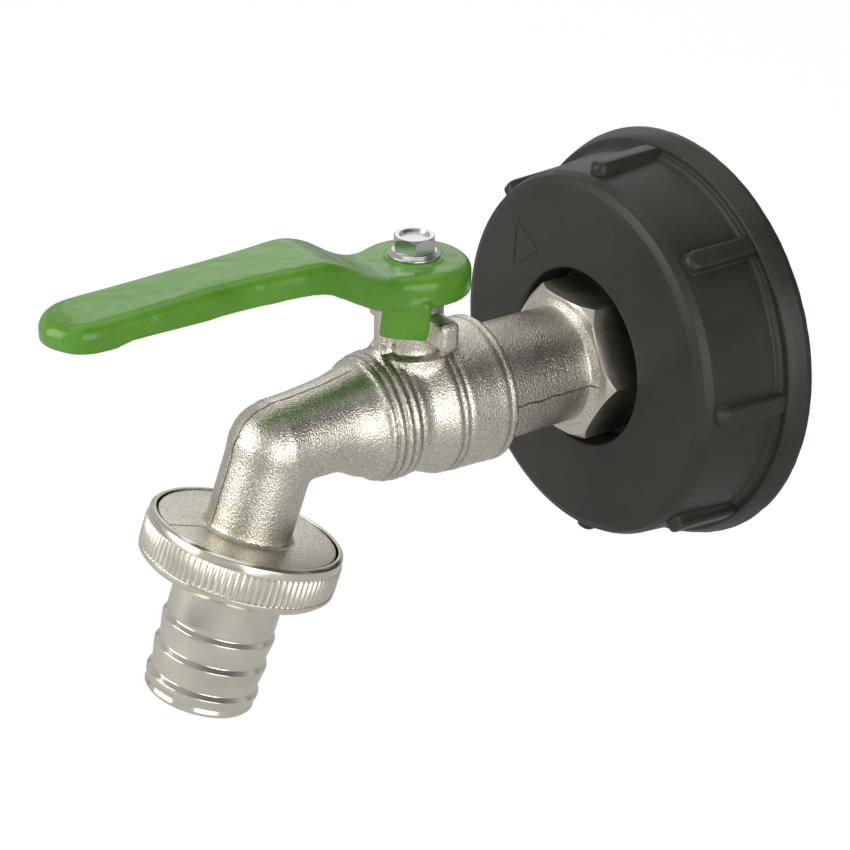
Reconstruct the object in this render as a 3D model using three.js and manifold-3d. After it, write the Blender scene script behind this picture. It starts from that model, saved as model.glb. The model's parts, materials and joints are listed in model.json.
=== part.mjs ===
// Ball tap on a screw cap, for the bottom outlet of an intermediate bulk container.
// Millimetres, +Z up. The water runs along the main axis (the Y axis) from the cap's
// mouth at the origin towards -Y, turns at the elbow and leaves through the hose tail.
import * as THREE from 'three';
import { mergeVertices } from 'three/addons/utils/BufferGeometryUtils.js';
import Module from 'manifold-3d';

const wasm = await Module();
wasm.setup();

// Driving dimensions
const GAP = 0.3;                  // air left between pieces that touch
const ROUND = 40;                 // sides of the large turned pieces
const FINE = 28;                  // sides of the small turned pieces

const CAP = {
  flangeR: 41.5, flangeT: 4.5, bodyR: 37.9, faceR: 33.8, faceY: -21.9,
  pocketR: 17.6, pocketFloorY: -13.5, hubR: 19.4, hubEndY: -6, hubBoreR: 13.4,
  threadMinorR: 28.7, threadMajorR: 30.4, pitch: 6, turns: 2, seatY: -16.4,
  edgeR: 39.7, ribs: 8, ribPhase: 2.9, ribW: 4, ribY: -17.4, ribR: 39.4,
};
const GASKET = { innerR: 20, outerR: 28.3, thickness: 3 };
const INLET = {
  hexR: 15.7, hexBackY: -15.1, hexFrontY: -26.6, threadR: 13.1, tubeR: 11.27,
  boreR: 7, screwR: 12.2, screwStartY: -46.8, screwEndY: -53.1,
};
const STEM_Y = -61;               // the stem's axis crosses the main axis here
const BALL = { r: 9.2, boreR: 6, slotW: 3.2, slotZ: 6.2 };
const SEAT = { innerR: 6.3, outerR: 9.8, thickness: 3, offset: 4.6 };
const BODY = {
  rimY: -46.4, rimR: 14, mouthR: 12.5, chamberR: 10.1, shoulderY: -68.9, endY: -75.8,
};
const ELBOW_Y = -90;
const SPOUT = { tilt: THREE.MathUtils.degToRad(19.7), tubeR: 7.9, boreR: 5.6 };
const NECK = { r: 5.6, topZ: 22.2, boreR: 4.05, collarR: 4.85, collarTopZ: 10.9 };
const STEM = { r: 4, collarR: 4.5, shoulderZ: 23.9, topZ: 28.9, flatR: 3, flatHalf: 2.2 };
const LEVER = {
  hubR: 10.3, hubTopZ: 29.3, skirtZ: 23.6, wall: 2, plate: 2.4, bendHalfW: 8, waistHalfW: 6.7,
  tipR: 6.9, crestY: -84.5, crestZ: 35.4, waistY: -100, tipY: -131.5, tipZ: 33.3, skirtDepth: 4.7,
};
const BOLT = { headTopZ: 33.5, flangeR: 4.8, flangeZ: 29.7, hexR: 4.04, shankR: 1.6, tipZ: 19 };
// Distances along the outlet's own axis, from the elbow
const NUT = { top: 16, end: 25.2, r: 18.1, threadR: 16.7, lipR: 10.9, lipT: 1.7 };
const BOSS = { top: 16.2, end: 19.9, r: 16.35 };
const TAIL = {
  end: 49.3, flangeR: 15.6, neckR: 10, crestR: 10.45, valleyR: 9.85, boreR: 7.8,
  barbs: 3, barbPitch: 5.4, firstCrest: 35.1,
};

const FINISH = {
  blackPlastic: { color: 0x2b2b29, roughness: 0.62, metalness: 0 },
  satinNickel: { color: 0xb9b2a4, roughness: 0.4, metalness: 1 },
  brightNickel: { color: 0xcfc6b2, roughness: 0.18, metalness: 1 },
  zincSteel: { color: 0xd6d8da, roughness: 0.22, metalness: 1 },
  greenCoat: { color: 0x5a9a30, roughness: 0.3, metalness: 0 },
  rubber: { color: 0x1c1c1c, roughness: 0.8, metalness: 0 },
  whiteSeat: { color: 0xe9e6dc, roughness: 0.5, metalness: 0 },
};

// ---- helpers -------------------------------------------------------------------

// Shares a geometry's vertices and drops the triangles that have no area.
function weld(geometry) {
  geometry.deleteAttribute('normal');
  geometry.deleteAttribute('uv');
  const merged = mergeVertices(geometry, 1e-4);
  const index = merged.index.array;
  const kept = [];
  for (let i = 0; i < index.length; i += 3) {
    const [a, b, c] = [index[i], index[i + 1], index[i + 2]];
    if (a !== b && b !== c && c !== a) kept.push(a, b, c);
  }
  merged.setIndex(kept);
  return merged;
}

// Turns a closed three.js geometry into a solid that can be joined and cut.
function solid(geometry) {
  const merged = weld(geometry);
  const vertProperties = new Float32Array(merged.attributes.position.array);
  const triVerts = new Uint32Array(merged.index.array);
  const mesh = new wasm.Mesh({ numProp: 3, vertProperties, triVerts });
  return new wasm.Manifold(mesh);
}

// Gives a solid back as a three.js geometry.
function geometryOf(shape) {
  const mesh = shape.getMesh();
  const geometry = new THREE.BufferGeometry();
  geometry.setAttribute('position', new THREE.BufferAttribute(mesh.vertProperties, 3));
  geometry.setIndex(new THREE.BufferAttribute(mesh.triVerts, 1));
  geometry.computeVertexNormals();
  return geometry;
}

// A named mesh with its own finish.
function piece(name, shape, finish) {
  const geometry = shape.isBufferGeometry ? shape : geometryOf(shape);
  const mesh = new THREE.Mesh(geometry, new THREE.MeshStandardMaterial(FINISH[finish]));
  mesh.name = name;
  return mesh;
}

// Revolves [radius, y] points about the Y axis. A profile off the axis is closed on itself.
function turned(profile, sides) {
  const points = profile.map(([r, y]) => new THREE.Vector2(r, y));
  if (points[0].x > 0) points.push(points[0].clone());
  let area = 0;
  for (let i = 0; i < profile.length; i += 1) {
    const [r0, y0] = profile[i];
    const [r1, y1] = profile[(i + 1) % profile.length];
    area += r0 * y1 - r1 * y0;
  }
  if (area < 0) points.reverse();
  return new THREE.LatheGeometry(points, sides);
}

// A plain disc or rod about the Y axis, from y0 to y1.
function rod(r, y0, y1, sides) {
  return turned([[0, y0], [r, y0], [r, y1], [0, y1]], sides);
}

// A flat ring about the Y axis, from y0 to y1.
function ring(innerR, outerR, y0, y1, sides) {
  return turned([[innerR, y0], [outerR, y0], [outerR, y1], [innerR, y1]], sides);
}

// Stands a geometry made about the Y axis upright on the stem's axis.
function onStem(geometry) {
  return geometry.rotateX(Math.PI / 2).translate(0, STEM_Y, 0);
}

// Points a geometry made about the Y axis down the outlet, measured from the elbow.
function onOutlet(geometry) {
  return geometry.rotateX(-Math.PI / 2 - SPOUT.tilt).translate(0, ELBOW_Y, 0);
}

function box(x0, x1, y0, y1, z0, z1) {
  const geometry = new THREE.BoxGeometry(x1 - x0, y1 - y0, z1 - z0);
  return geometry.translate((x0 + x1) / 2, (y0 + y1) / 2, (z0 + z1) / 2);
}

// ---- tank side -----------------------------------------------------------------

// The moulded cap's wall: coarse inner thread, flange and grip ribs outside.
function ibcCap() {
  const c = CAP;
  const thread = [];
  for (let k = 0; k < c.turns; k += 1) {
    const y = -2.4 - k * c.pitch;
    thread.push([c.threadMinorR, y], [c.threadMajorR, y - 0.9]);
    thread.push([c.threadMajorR, y - 2.4], [c.threadMinorR, y - 4.8]);
  }
  const profile = [
    [c.threadMajorR, 0], [c.threadMinorR, -1.6], ...thread, [c.threadMinorR, c.faceY],
    [c.faceR, c.faceY], [c.faceR + 1.7, c.faceY + 0.7],
    [c.faceR + 2.6, c.faceY + 2.3], [c.bodyR, -c.flangeT - 0.6],
    [c.bodyR + 0.7, -c.flangeT], [c.edgeR, -c.flangeT], [c.edgeR + 0.8, -c.flangeT + 1.3],
    [c.flangeR - 0.2, -1], [c.flangeR, 0],
  ];
  let cap = solid(turned(profile, ROUND));
  const crest = solid(turned([
    [35, -2], [c.ribR, -2], [c.ribR, -5], [c.ribR - 1.7, c.ribY - 3], [35, c.ribY - 3],
  ], ROUND));
  for (let k = 0; k < c.ribs; k += 1) {
    const bar = solid(box(34, c.flangeR, c.ribY, -2, -c.ribW / 2, c.ribW / 2));
    const nose = solid(rod(c.ribW / 2, 34, c.flangeR, 16).rotateZ(-Math.PI / 2)
      .translate(0, c.ribY, 0));
    const angle = c.ribPhase + k * 360 / c.ribs;
    cap = cap.add(bar.add(nose).rotate([0, -angle, 0]).intersect(crest));
  }
  return piece('ibc_cap', cap, 'blackPlastic');
}

// The cap's end wall and hub. It is moulded in one with the wall, and is a piece of its own
// so that both stay simple rings.
function capHub() {
  const c = CAP;
  const rimR = c.threadMinorR - GAP;
  const shape = turned([
    [rimR, c.faceY], [rimR, c.seatY], [c.hubR, c.seatY], [c.hubR, c.hubEndY],
    [c.hubBoreR, c.hubEndY], [c.hubBoreR, c.pocketFloorY], [c.pocketR, c.pocketFloorY],
    [c.pocketR, c.faceY + 0.5], [c.pocketR + 0.5, c.faceY],
  ], ROUND);
  return piece('cap_hub', weld(shape), 'blackPlastic');
}

// The flat ring that the tank's outlet presses on.
function tankGasket() {
  const back = CAP.seatY + GAP;
  const shape = ring(GASKET.innerR, GASKET.outerR, back, back + GASKET.thickness, ROUND);
  return piece('tank_gasket', weld(shape), 'rubber');
}

// The washer between the hex and the floor of the cap's pocket.
function inletGasket() {
  const front = INLET.hexBackY + GAP;
  const shape = ring(INLET.threadR + GAP, 16.8, front, CAP.pocketFloorY - GAP, FINE);
  return piece('inlet_gasket', weld(shape), 'rubber');
}

// ---- the tap's two castings -----------------------------------------------------

// The end piece: it screws into the cap and into the body, and holds the rear seat.
function inletEnd() {
  const i = INLET;
  const shaft = solid(turned([
    [0, i.screwEndY], [i.screwR, i.screwEndY], [i.screwR, i.screwStartY],
    [i.tubeR, i.screwStartY + 0.4], [i.tubeR, i.hexFrontY + 0.5], [i.tubeR, i.hexBackY],
    [i.threadR, i.hexBackY], [i.threadR, CAP.hubEndY - 1], [i.threadR - 1, CAP.hubEndY],
    [0, CAP.hubEndY],
  ], FINE));
  const hexLength = i.hexBackY - i.hexFrontY;
  const prism = new THREE.CylinderGeometry(i.hexR, i.hexR, hexLength, 6)
    .rotateY(Math.PI / 2).translate(0, (i.hexBackY + i.hexFrontY) / 2, 0);
  const chamfer = solid(turned([
    [0, i.hexFrontY], [13, i.hexFrontY], [i.hexR + 0.1, i.hexFrontY + 2.4],
    [i.hexR + 0.1, i.hexBackY], [0, i.hexBackY],
  ], FINE));
  const hex = solid(prism).intersect(chamfer);
  const bore = solid(rod(i.boreR, i.screwEndY - 1, CAP.hubEndY + 1, FINE));
  return piece('inlet_end', shaft.add(hex).subtract(bore), 'satinNickel');
}

// The bead of sealant at the joint of the two castings.
function jointSealant() {
  const shape = ring(INLET.tubeR + GAP, BODY.mouthR - 0.25, BODY.rimY, BODY.rimY + 0.5, FINE);
  return piece('joint_sealant', weld(shape.translate(0, 0.1, 0)), 'rubber');
}

// Outside of the ball chamber: bell, steps and shoulder, down to where the spout starts.
function chamberShell() {
  return solid(turned([
    [0, BODY.rimY], [BODY.rimR - 0.2, BODY.rimY], [BODY.rimR, BODY.rimY - 0.3],
    [BODY.rimR, -47.9], [13.7, -48.1], [13.95, -48.5], [13.8, -50.5], [13.55, -57.1],
    [13.1, -60.2], [12.5, -61.6], [11.9, -62.9], [11.75, -64.6], [12.0, -66.6], [11.85, -69.7],
    [10.9, -72.5], [10.3, -73.6], [9.9, -75], [9.5, BODY.endY], [0, BODY.endY],
  ], ROUND));
}

// The stem's housing with its fin and the two stop lugs.
function neckShell() {
  const column = solid(onStem(rod(NECK.r, 6, NECK.topZ, FINE)));
  const foot = solid(onStem(turned([[0, 9], [9, 9], [6.6, 13], [NECK.r, 14.6], [0, 14.6]], FINE)));
  const fin = solid(box(-1.5, 1.5, STEM_Y - 7.6, STEM_Y, 8, NECK.topZ - 0.3));
  const openStop = solid(box(3, 10, STEM_Y - 0.8, STEM_Y + 1.6, 15.1, 19.9))
    .add(solid(rod(2.4, 3, 10, 20).rotateZ(-Math.PI / 2).scale(1, 0.7, 1)
      .translate(0, STEM_Y + 1.2, 17.5)));
  const shutStop = solid(box(-10, -3, STEM_Y - 3.1, STEM_Y - 0.9, 15.1, 19.9));
  return column.add(foot).add(fin).add(openStop).add(shutStop);
}

// The spout outside: a tapered tube, a ball elbow and the tube down to the threaded boss.
function spoutShell() {
  const top = BODY.endY - GAP;
  const run = solid(turned([
    [0, top], [8.9, top], [8.3, -82], [SPOUT.tubeR, ELBOW_Y], [0, ELBOW_Y],
  ], FINE));
  const elbow = solid(turned(
    Array.from({ length: 9 }, (_, k) => {
      const a = (k / 8 - 0.5) * Math.PI;
      return [SPOUT.tubeR * Math.max(Math.cos(a), 0), SPOUT.tubeR * Math.sin(a)];
    }), FINE).translate(0, ELBOW_Y, 0));
  const drop = solid(onOutlet(turned([
    [0, 0], [SPOUT.tubeR, 0], [SPOUT.tubeR, BOSS.top - 1.2], [SPOUT.tubeR + 1.2, BOSS.top],
    [BOSS.r - 0.3, BOSS.top], [BOSS.r, BOSS.top + 0.3], [BOSS.r, BOSS.end], [0, BOSS.end],
  ], ROUND)));
  return run.add(elbow).add(drop);
}

// The water's way through the casting: along the run, round the elbow and down the drop.
function waterway() {
  return solid(rod(SPOUT.boreR, ELBOW_Y, BODY.shoulderY + 1, FINE))
    .add(solid(new THREE.SphereGeometry(SPOUT.boreR, 20, 10).translate(0, ELBOW_Y, 0)))
    .add(solid(onOutlet(rod(SPOUT.boreR, 0, BOSS.end + 1, FINE))));
}

// The body casting: ball chamber and neck, with their bores.
function valveBody() {
  const b = BODY;
  const chamber = solid(turned([
    [0, b.rimY + 1], [b.mouthR, b.rimY + 1], [b.mouthR, INLET.screwEndY - GAP],
    [b.chamberR, INLET.screwEndY - GAP - 0.3], [b.chamberR, b.shoulderY], [0, b.shoulderY],
  ], ROUND));
  const stemBore = solid(onStem(turned([
    [0, 4], [NECK.collarR, 4], [NECK.collarR, NECK.collarTopZ],
    [NECK.boreR, NECK.collarTopZ], [NECK.boreR, NECK.topZ + 1], [0, NECK.topZ + 1],
  ], FINE)));
  const outside = chamberShell().add(neckShell());
  const body = outside.subtract(chamber).subtract(waterway()).subtract(stemBore);
  return piece('valve_body', body, 'satinNickel');
}

// The spout, cast in one with the body, and a piece of its own for its bent waterway.
function spout() {
  return piece('spout', spoutShell().subtract(waterway()), 'satinNickel');
}

// ---- ball, seats and stem --------------------------------------------------------

function ball() {
  const sphere = solid(new THREE.SphereGeometry(BALL.r, 28, 16));
  const bore = solid(rod(BALL.boreR, -BALL.r - 1, BALL.r + 1, FINE));
  const slot = solid(box(-6, 6, -BALL.slotW / 2, BALL.slotW / 2, BALL.slotZ, BALL.r + 1));
  const shape = sphere.subtract(bore).subtract(slot).translate([0, STEM_Y, 0]);
  return piece('ball', shape, 'brightNickel');
}

// A plastic seat ring, hollowed to the ball; side is +1 behind the ball, -1 before it.
function seat(name, side) {
  const near = STEM_Y + side * SEAT.offset;
  const far = near + side * SEAT.thickness;
  const blank = solid(ring(SEAT.innerR, SEAT.outerR, near, far, FINE));
  const hollow = solid(new THREE.SphereGeometry(BALL.r + 0.1, 28, 16)).translate([0, STEM_Y, 0]);
  return piece(name, blank.subtract(hollow), 'whiteSeat');
}

const STEM_GROOVES = [14, 17.6];  // heights of the stem's two O-ring grooves
const GROOVE = { r: 3, width: 1.9 };

// The stem: tang in the ball's slot, collar, two seal grooves, flats for the lever.
function stem() {
  const s = STEM;
  const grooves = STEM_GROOVES.flatMap((z) => [
    [s.r, z], [GROOVE.r, z], [GROOVE.r, z + GROOVE.width], [s.r, z + GROOVE.width],
  ]);
  const shaft = solid(onStem(turned([
    [0, 9.5], [s.collarR, 9.5], [s.collarR, 10.2], [s.r, 10.2], ...grooves,
    [s.r, s.shoulderZ], [s.flatR, s.shoulderZ], [s.flatR, s.topZ], [0, s.topZ],
  ], FINE)));
  const keep = solid(box(-9, 9, STEM_Y - 9, STEM_Y + 9, 9, s.shoulderZ))
    .add(solid(box(-9, 9, STEM_Y - s.flatHalf, STEM_Y + s.flatHalf, 20, s.topZ + 1)));
  const tang = solid(box(-3.6, 3.6, STEM_Y - 1.45, STEM_Y + 1.45, 6.5, 10));
  const hole = solid(onStem(rod(BOLT.shankR + GAP, BOLT.tipZ - 1, s.topZ + 1, 24)));
  return piece('stem', shaft.intersect(keep).add(tang).subtract(hole), 'brightNickel');
}

function thrustWasher() {
  const shape = onStem(ring(STEM.r + 0.1, STEM.collarR, 10.35, NECK.collarTopZ - 0.1, FINE));
  return piece('thrust_washer', weld(shape), 'whiteSeat');
}

function stemSeal(name, z) {
  const middle = z + GROOVE.width / 2;
  const section = 0.44;
  const profile = Array.from({ length: 6 }, (_, k) => {
    const a = k * Math.PI / 3;
    return [GROOVE.r + 0.06 + section + section * Math.cos(a), middle + section * Math.sin(a)];
  });
  return piece(name, weld(onStem(turned(profile, FINE))), 'rubber');
}

// ---- lever ----------------------------------------------------------------------

// Side view of the lever's top, lowered by drop: hub, S-bend and arm, from right to left.
function leverTop(drop) {
  const l = LEVER;
  const bend = Array.from({ length: 7 }, (_, k) => {
    const t = k / 6;
    const rise = (1 - Math.cos(t * Math.PI)) / 2;
    const y = THREE.MathUtils.lerp(STEM_Y - 8.5, l.crestY, t);
    return [y, THREE.MathUtils.lerp(l.hubTopZ, l.crestZ, rise) - drop];
  });
  return [[STEM_Y + l.hubR + 2, l.hubTopZ - drop], ...bend, [l.tipY - 1, l.tipZ - drop]];
}

// The band between two heights under the lever's top, extruded across its width.
function leverBand(dropTop, dropBottom) {
  const outline = [...leverTop(dropTop), ...leverTop(dropBottom).reverse()];
  const shape = new THREE.Shape(outline.map(([y, z]) => new THREE.Vector2(y, z)));
  const band = new THREE.ExtrudeGeometry(shape, { depth: 40, bevelEnabled: false });
  return solid(band.translate(0, 0, -20).applyMatrix4(new THREE.Matrix4().makeBasis(
    new THREE.Vector3(0, 1, 0), new THREE.Vector3(0, 0, 1), new THREE.Vector3(1, 0, 0))));
}

// Plan of the lever, inset by a wall: round hub, waisted arm and round tip, as an upright prism.
function leverPlan(inset) {
  const l = LEVER;
  const tipCentre = l.tipY + l.tipR;
  const outline = new THREE.Shape();
  outline.moveTo(-l.bendHalfW + inset, STEM_Y);
  outline.lineTo(-l.bendHalfW + inset, l.crestY);
  outline.lineTo(-l.waistHalfW + inset, l.waistY);
  outline.lineTo(-l.tipR + inset, tipCentre);
  outline.absarc(0, tipCentre, l.tipR - inset, Math.PI, 2 * Math.PI, false);
  outline.lineTo(l.waistHalfW - inset, l.waistY);
  outline.lineTo(l.bendHalfW - inset, l.crestY);
  outline.lineTo(l.bendHalfW - inset, STEM_Y);
  const arm = new THREE.ExtrudeGeometry(outline, { depth: 60, bevelEnabled: false, curveSegments: 10 });
  return solid(onStem(rod(l.hubR - inset, 0, 60, ROUND))).add(solid(arm));
}

// The pressed lever: a channel open below, a round hub and the stop tab.
function lever() {
  const l = LEVER;
  const hubDepth = l.hubTopZ - l.skirtZ;
  const outer = leverBand(0, l.skirtDepth).intersect(leverPlan(0));
  const hubOuter = solid(onStem(rod(l.hubR, l.skirtZ, l.hubTopZ, ROUND)));
  const ramp = leverBand(0, hubDepth).intersect(leverPlan(0))
    .intersect(solid(box(-20, 20, l.crestY, STEM_Y, 0, 60)));
  const inner = leverBand(l.plate, 30).intersect(leverPlan(l.wall));
  const doubleD = solid(onStem(rod(STEM.flatR + GAP, 20, 40, 32)))
    .intersect(solid(box(-9, 9, STEM_Y - STEM.flatHalf - GAP, STEM_Y + STEM.flatHalf + GAP, 20, 40)));
  const tab = solid(box(-4.2, 3.6, -1.1, 1.1, 17.8, l.skirtZ + 2))
    .rotate([0, 0, 48]).translate([7.1, STEM_Y - 6.2, 0]);
  const shape = outer.add(hubOuter).add(ramp).subtract(inner).add(tab).subtract(doubleD);
  return piece('lever', shape, 'greenCoat');
}

// The hexagon flange bolt that clamps the lever on the stem.
function leverBolt() {
  const b = BOLT;
  const shaft = solid(onStem(turned([
    [0, b.tipZ], [b.shankR, b.tipZ], [b.shankR, b.flangeZ], [b.flangeR, b.flangeZ],
    [b.flangeR, b.flangeZ + 0.5], [b.hexR, b.flangeZ + 1.1], [0, b.flangeZ + 1.1],
  ], 32)));
  const head = solid(onStem(new THREE.CylinderGeometry(b.hexR, b.hexR, b.headTopZ - b.flangeZ, 6)
    .rotateY(Math.PI / 6).translate(0, (b.headTopZ + b.flangeZ) / 2, 0)));
  const dish = solid(onStem(turned([
    [0, b.headTopZ - 0.6], [2.4, b.headTopZ - 0.6], [3, b.headTopZ + 1], [0, b.headTopZ + 1],
  ], 24)));
  return piece('lever_bolt', shaft.add(head).subtract(dish), 'zincSteel');
}

// ---- outlet ---------------------------------------------------------------------

// The knurled union nut: threaded inside, with a lip that pulls the hose tail up.
function unionNut() {
  const n = NUT;
  const shape = turned([
    [n.threadR, n.top], [n.r - 0.7, n.top], [n.r - 0.2, n.top + 0.7], [n.r, n.top + 1.9],
    [n.r, n.end - 2], [n.r - 0.9, n.end - 0.6], [n.r - 2.2, n.end], [n.lipR, n.end],
    [n.lipR, n.end - n.lipT], [n.threadR, n.end - n.lipT],
  ], ROUND);
  return piece('union_nut', weld(onOutlet(shape)), 'brightNickel');
}

function hoseGasket() {
  const shape = ring(8, TAIL.flangeR, BOSS.end + 0.1, BOSS.end + 1.7, FINE);
  return piece('hose_gasket', weld(onOutlet(shape)), 'rubber');
}

// The hose tail: flange held by the nut, smooth neck and saw-tooth barbs.
function hoseTail() {
  const t = TAIL;
  const flangeTop = BOSS.end + 1.8;
  const flangeEnd = NUT.end - NUT.lipT - 0.1;
  const barbs = Array.from({ length: t.barbs }, (_, k) => {
    const y = t.firstCrest + k * t.barbPitch;
    return [[t.valleyR, y - 1.2], [t.crestR, y], [t.crestR, y + 0.8]];
  }).flat();
  const shape = turned([
    [t.boreR, flangeTop], [t.flangeR, flangeTop], [t.flangeR, flangeEnd],
    [t.neckR, flangeEnd], [t.neckR, t.firstCrest - 3], ...barbs,
    [t.neckR + 0.2, t.end - 0.9], [t.neckR - 0.6, t.end], [t.boreR + 0.4, t.end],
  ], ROUND);
  return piece('hose_tail', weld(onOutlet(shape)), 'brightNickel');
}

// ---- assembly -------------------------------------------------------------------

const tankSide = new THREE.Group();
tankSide.add(ibcCap(), capHub(), tankGasket(), inletGasket());

const valve = new THREE.Group();
valve.add(inletEnd(), jointSealant(), valveBody(), spout());
valve.add(ball(), seat('seat_rear', 1), seat('seat_front', -1));
valve.add(stem(), thrustWasher());
valve.add(stemSeal('stem_oring_lower', STEM_GROOVES[0]));
valve.add(stemSeal('stem_oring_upper', STEM_GROOVES[1]));

const handle = new THREE.Group();
handle.add(lever(), leverBolt());

const outlet = new THREE.Group();
outlet.add(unionNut(), hoseGasket(), hoseTail());

const group = new THREE.Group();
group.add(tankSide, valve, handle, outlet);

export default group;
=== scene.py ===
# %% [markdown]
# # A ball tap on a screw cap
# This lesson dresses a packed model of a lever tap that screws on the bottom outlet of an
# intermediate bulk container. The tap has a black moulded cap, a nickel-plated casting with
# an elbow spout, a green dip-coated lever, a knurled union nut and a barbed hose tail.
# The packed model is the frame: it says where every piece is and how it turns. Here each
# piece that can be seen gets its real surface, built around that frame.

# %% Load the frame
import json
from math import atan2, cos, hypot, pi, radians, sin, tan

import bmesh
import bpy
from mathutils import Matrix, Vector, noise

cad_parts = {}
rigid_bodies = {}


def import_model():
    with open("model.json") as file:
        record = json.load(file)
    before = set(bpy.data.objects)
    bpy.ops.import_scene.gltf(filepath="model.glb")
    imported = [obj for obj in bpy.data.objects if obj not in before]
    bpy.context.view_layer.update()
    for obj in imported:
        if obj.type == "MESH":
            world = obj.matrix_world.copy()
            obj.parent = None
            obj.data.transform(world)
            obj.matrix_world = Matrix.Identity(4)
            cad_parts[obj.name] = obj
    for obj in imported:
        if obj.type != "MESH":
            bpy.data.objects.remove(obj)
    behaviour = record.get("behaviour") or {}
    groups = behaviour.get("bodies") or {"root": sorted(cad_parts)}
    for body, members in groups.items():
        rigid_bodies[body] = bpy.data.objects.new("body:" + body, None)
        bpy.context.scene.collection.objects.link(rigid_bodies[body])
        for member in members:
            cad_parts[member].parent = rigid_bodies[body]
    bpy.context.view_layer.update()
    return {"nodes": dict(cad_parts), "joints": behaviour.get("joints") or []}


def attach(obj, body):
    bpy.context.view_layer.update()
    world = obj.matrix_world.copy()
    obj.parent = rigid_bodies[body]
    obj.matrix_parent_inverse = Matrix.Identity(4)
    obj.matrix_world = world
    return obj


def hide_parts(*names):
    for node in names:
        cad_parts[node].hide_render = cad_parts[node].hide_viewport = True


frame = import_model()
print("nodes in the frame:", len(frame["nodes"]))

# %% [markdown]
# ## Wiring helpers
# Finishes, the light of the studio and several shapes are all made of nodes. These few helpers
# keep each wiring step to one line. Sizes are given in millimetres, because that is how a
# fitter would give them, and MM turns them into Blender's metres.

# %% Helpers that add and wire nodes
MM = 0.001


def add_node(tree, kind, inputs=None, **settings):
    """Adds a node, sets its properties, and fills its inputs with values or wires."""
    node = tree.nodes.new(kind)
    for key, value in settings.items():
        setattr(node, key, value)
    for key, value in (inputs or {}).items():
        if isinstance(value, bpy.types.NodeSocket):
            tree.links.new(value, node.inputs[key])
        else:
            node.inputs[key].default_value = value
    return node


def new_object(name, data):
    """Adds an object to the scene."""
    thing = bpy.data.objects.new(name, data)
    bpy.context.scene.collection.objects.link(thing)
    return thing


def math_node(tree, operation, *inputs, kind="ShaderNodeMath", **settings):
    """A sum, product or other calculation. Gives its output socket."""
    node = add_node(tree, kind, dict(enumerate(inputs)), operation=operation, **settings)
    return node.outputs["Value"]


def rescale(tree, value, from_low=0.0, from_high=1.0, to_low=0.0, to_high=1.0):
    """Maps one range of a value on another, and holds it at the ends."""
    return add_node(tree, "ShaderNodeMapRange", {
        "Value": value, "From Min": from_low, "From Max": from_high,
        "To Min": to_low, "To Max": to_high}).outputs[0]


def new_group(name, kind, inputs, outputs):
    """Starts a node group whose sockets are given as (name, type, value)."""
    tree = bpy.data.node_groups.new(name, kind)
    for label, socket_type, value in inputs:
        socket = tree.interface.new_socket(label, in_out="INPUT", socket_type=socket_type)
        if value is not None:
            socket.default_value = value
    for label, socket_type in outputs:
        tree.interface.new_socket(label, in_out="OUTPUT", socket_type=socket_type)
    start = tree.nodes.new("NodeGroupInput")
    end = tree.nodes.new("NodeGroupOutput")
    return tree, start.outputs, end.inputs


print("helpers ready, 1 mm is", MM, "m")

# %% [markdown]
# ## Places and axes
# Every place comes from the frame. The stem's axis is the axis of the lever's joint, and the
# outlet's axis is the axis of the nut's joint. The elbow is where the outlet's axis meets the
# main axis, which is the Y axis of the frame.

# %% Axes taken from the joints
joints = {joint["name"]: joint for joint in frame["joints"]}
stem_y = joints["lever_turn"]["pos_m"][1] / MM
outlet_axis = Vector(joints["nut_turn"]["axis"])
outlet_point = Vector(joints["nut_turn"]["pos_m"]) / MM
elbow_y = (outlet_point - outlet_axis * (outlet_point.z / outlet_axis.z)).y
tilt = atan2(-outlet_axis.y, -outlet_axis.z)
ON_STEM = Matrix.Translation((0, stem_y, 0)) @ Matrix.Rotation(pi / 2, 4, "X")
ON_OUTLET = Matrix.Translation((0, elbow_y, 0)) @ Matrix.Rotation(-pi / 2 - tilt, 4, "X")
print(f"stem at y {stem_y:.1f} mm, elbow at y {elbow_y:.1f} mm, tilt {tilt * 180 / pi:.1f} degrees")

# %% [markdown]
# ## The camera first
# The camera stands to the right of the spout and looks down on it at about 27 degrees. It is
# built from its azimuth, elevation and roll, so its three axes can be written as plain vectors.

# %% Camera
AZIMUTH, ELEVATION, ROLL = radians(54.212), radians(27.349), radians(1.748)
CAMERA_AT = Vector((244.64, -233.85, 150.91)) * MM

back = Vector((sin(AZIMUTH) * cos(ELEVATION), -cos(AZIMUTH) * cos(ELEVATION), sin(ELEVATION)))
level = Vector((cos(AZIMUTH), sin(AZIMUTH), 0))
upward = back.cross(level)
across = cos(ROLL) * level + sin(ROLL) * upward
upright = cos(ROLL) * upward - sin(ROLL) * level

camera_data = bpy.data.cameras.new("camera")
camera_data.sensor_width = 36
camera_data.lens = 77.46
camera = new_object("camera", camera_data)
facing = Matrix((across, upright, back)).transposed().to_4x4()
camera.matrix_world = Matrix.Translation(CAMERA_AT) @ facing
bpy.context.scene.camera = camera
print("camera stands", round(CAMERA_AT.length, 3), "m from the cap")

# %% [markdown]
# ## Floor and light
# The tap hangs from its tank, so the floor is well below it and only gives a pale ground.
# Large soft lights in front, above, behind and on the right make the long bright bands on the
# nickel. The world is white to the camera, but its light fades towards one side, and that
# leaves the dark bands that make metal look like metal.

# %% Floor, lights and world
FLOOR_Z = -0.17
MIDDLE = Vector((0, -0.06, 0))
DARK_SIDE = (0.45, 0.45, 0.77)


def soft_box(name, at, width, height, power):
    """Adds a rectangular soft light that faces the middle of the tap."""
    light = bpy.data.lights.new(name, "AREA")
    light.shape = "RECTANGLE"
    light.size, light.size_y = width, height
    light.energy = power
    lamp = new_object(name, light)
    lamp.location = at
    lamp.rotation_euler = (Vector(at) - MIDDLE).to_track_quat("Z", "Y").to_euler()


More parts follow.
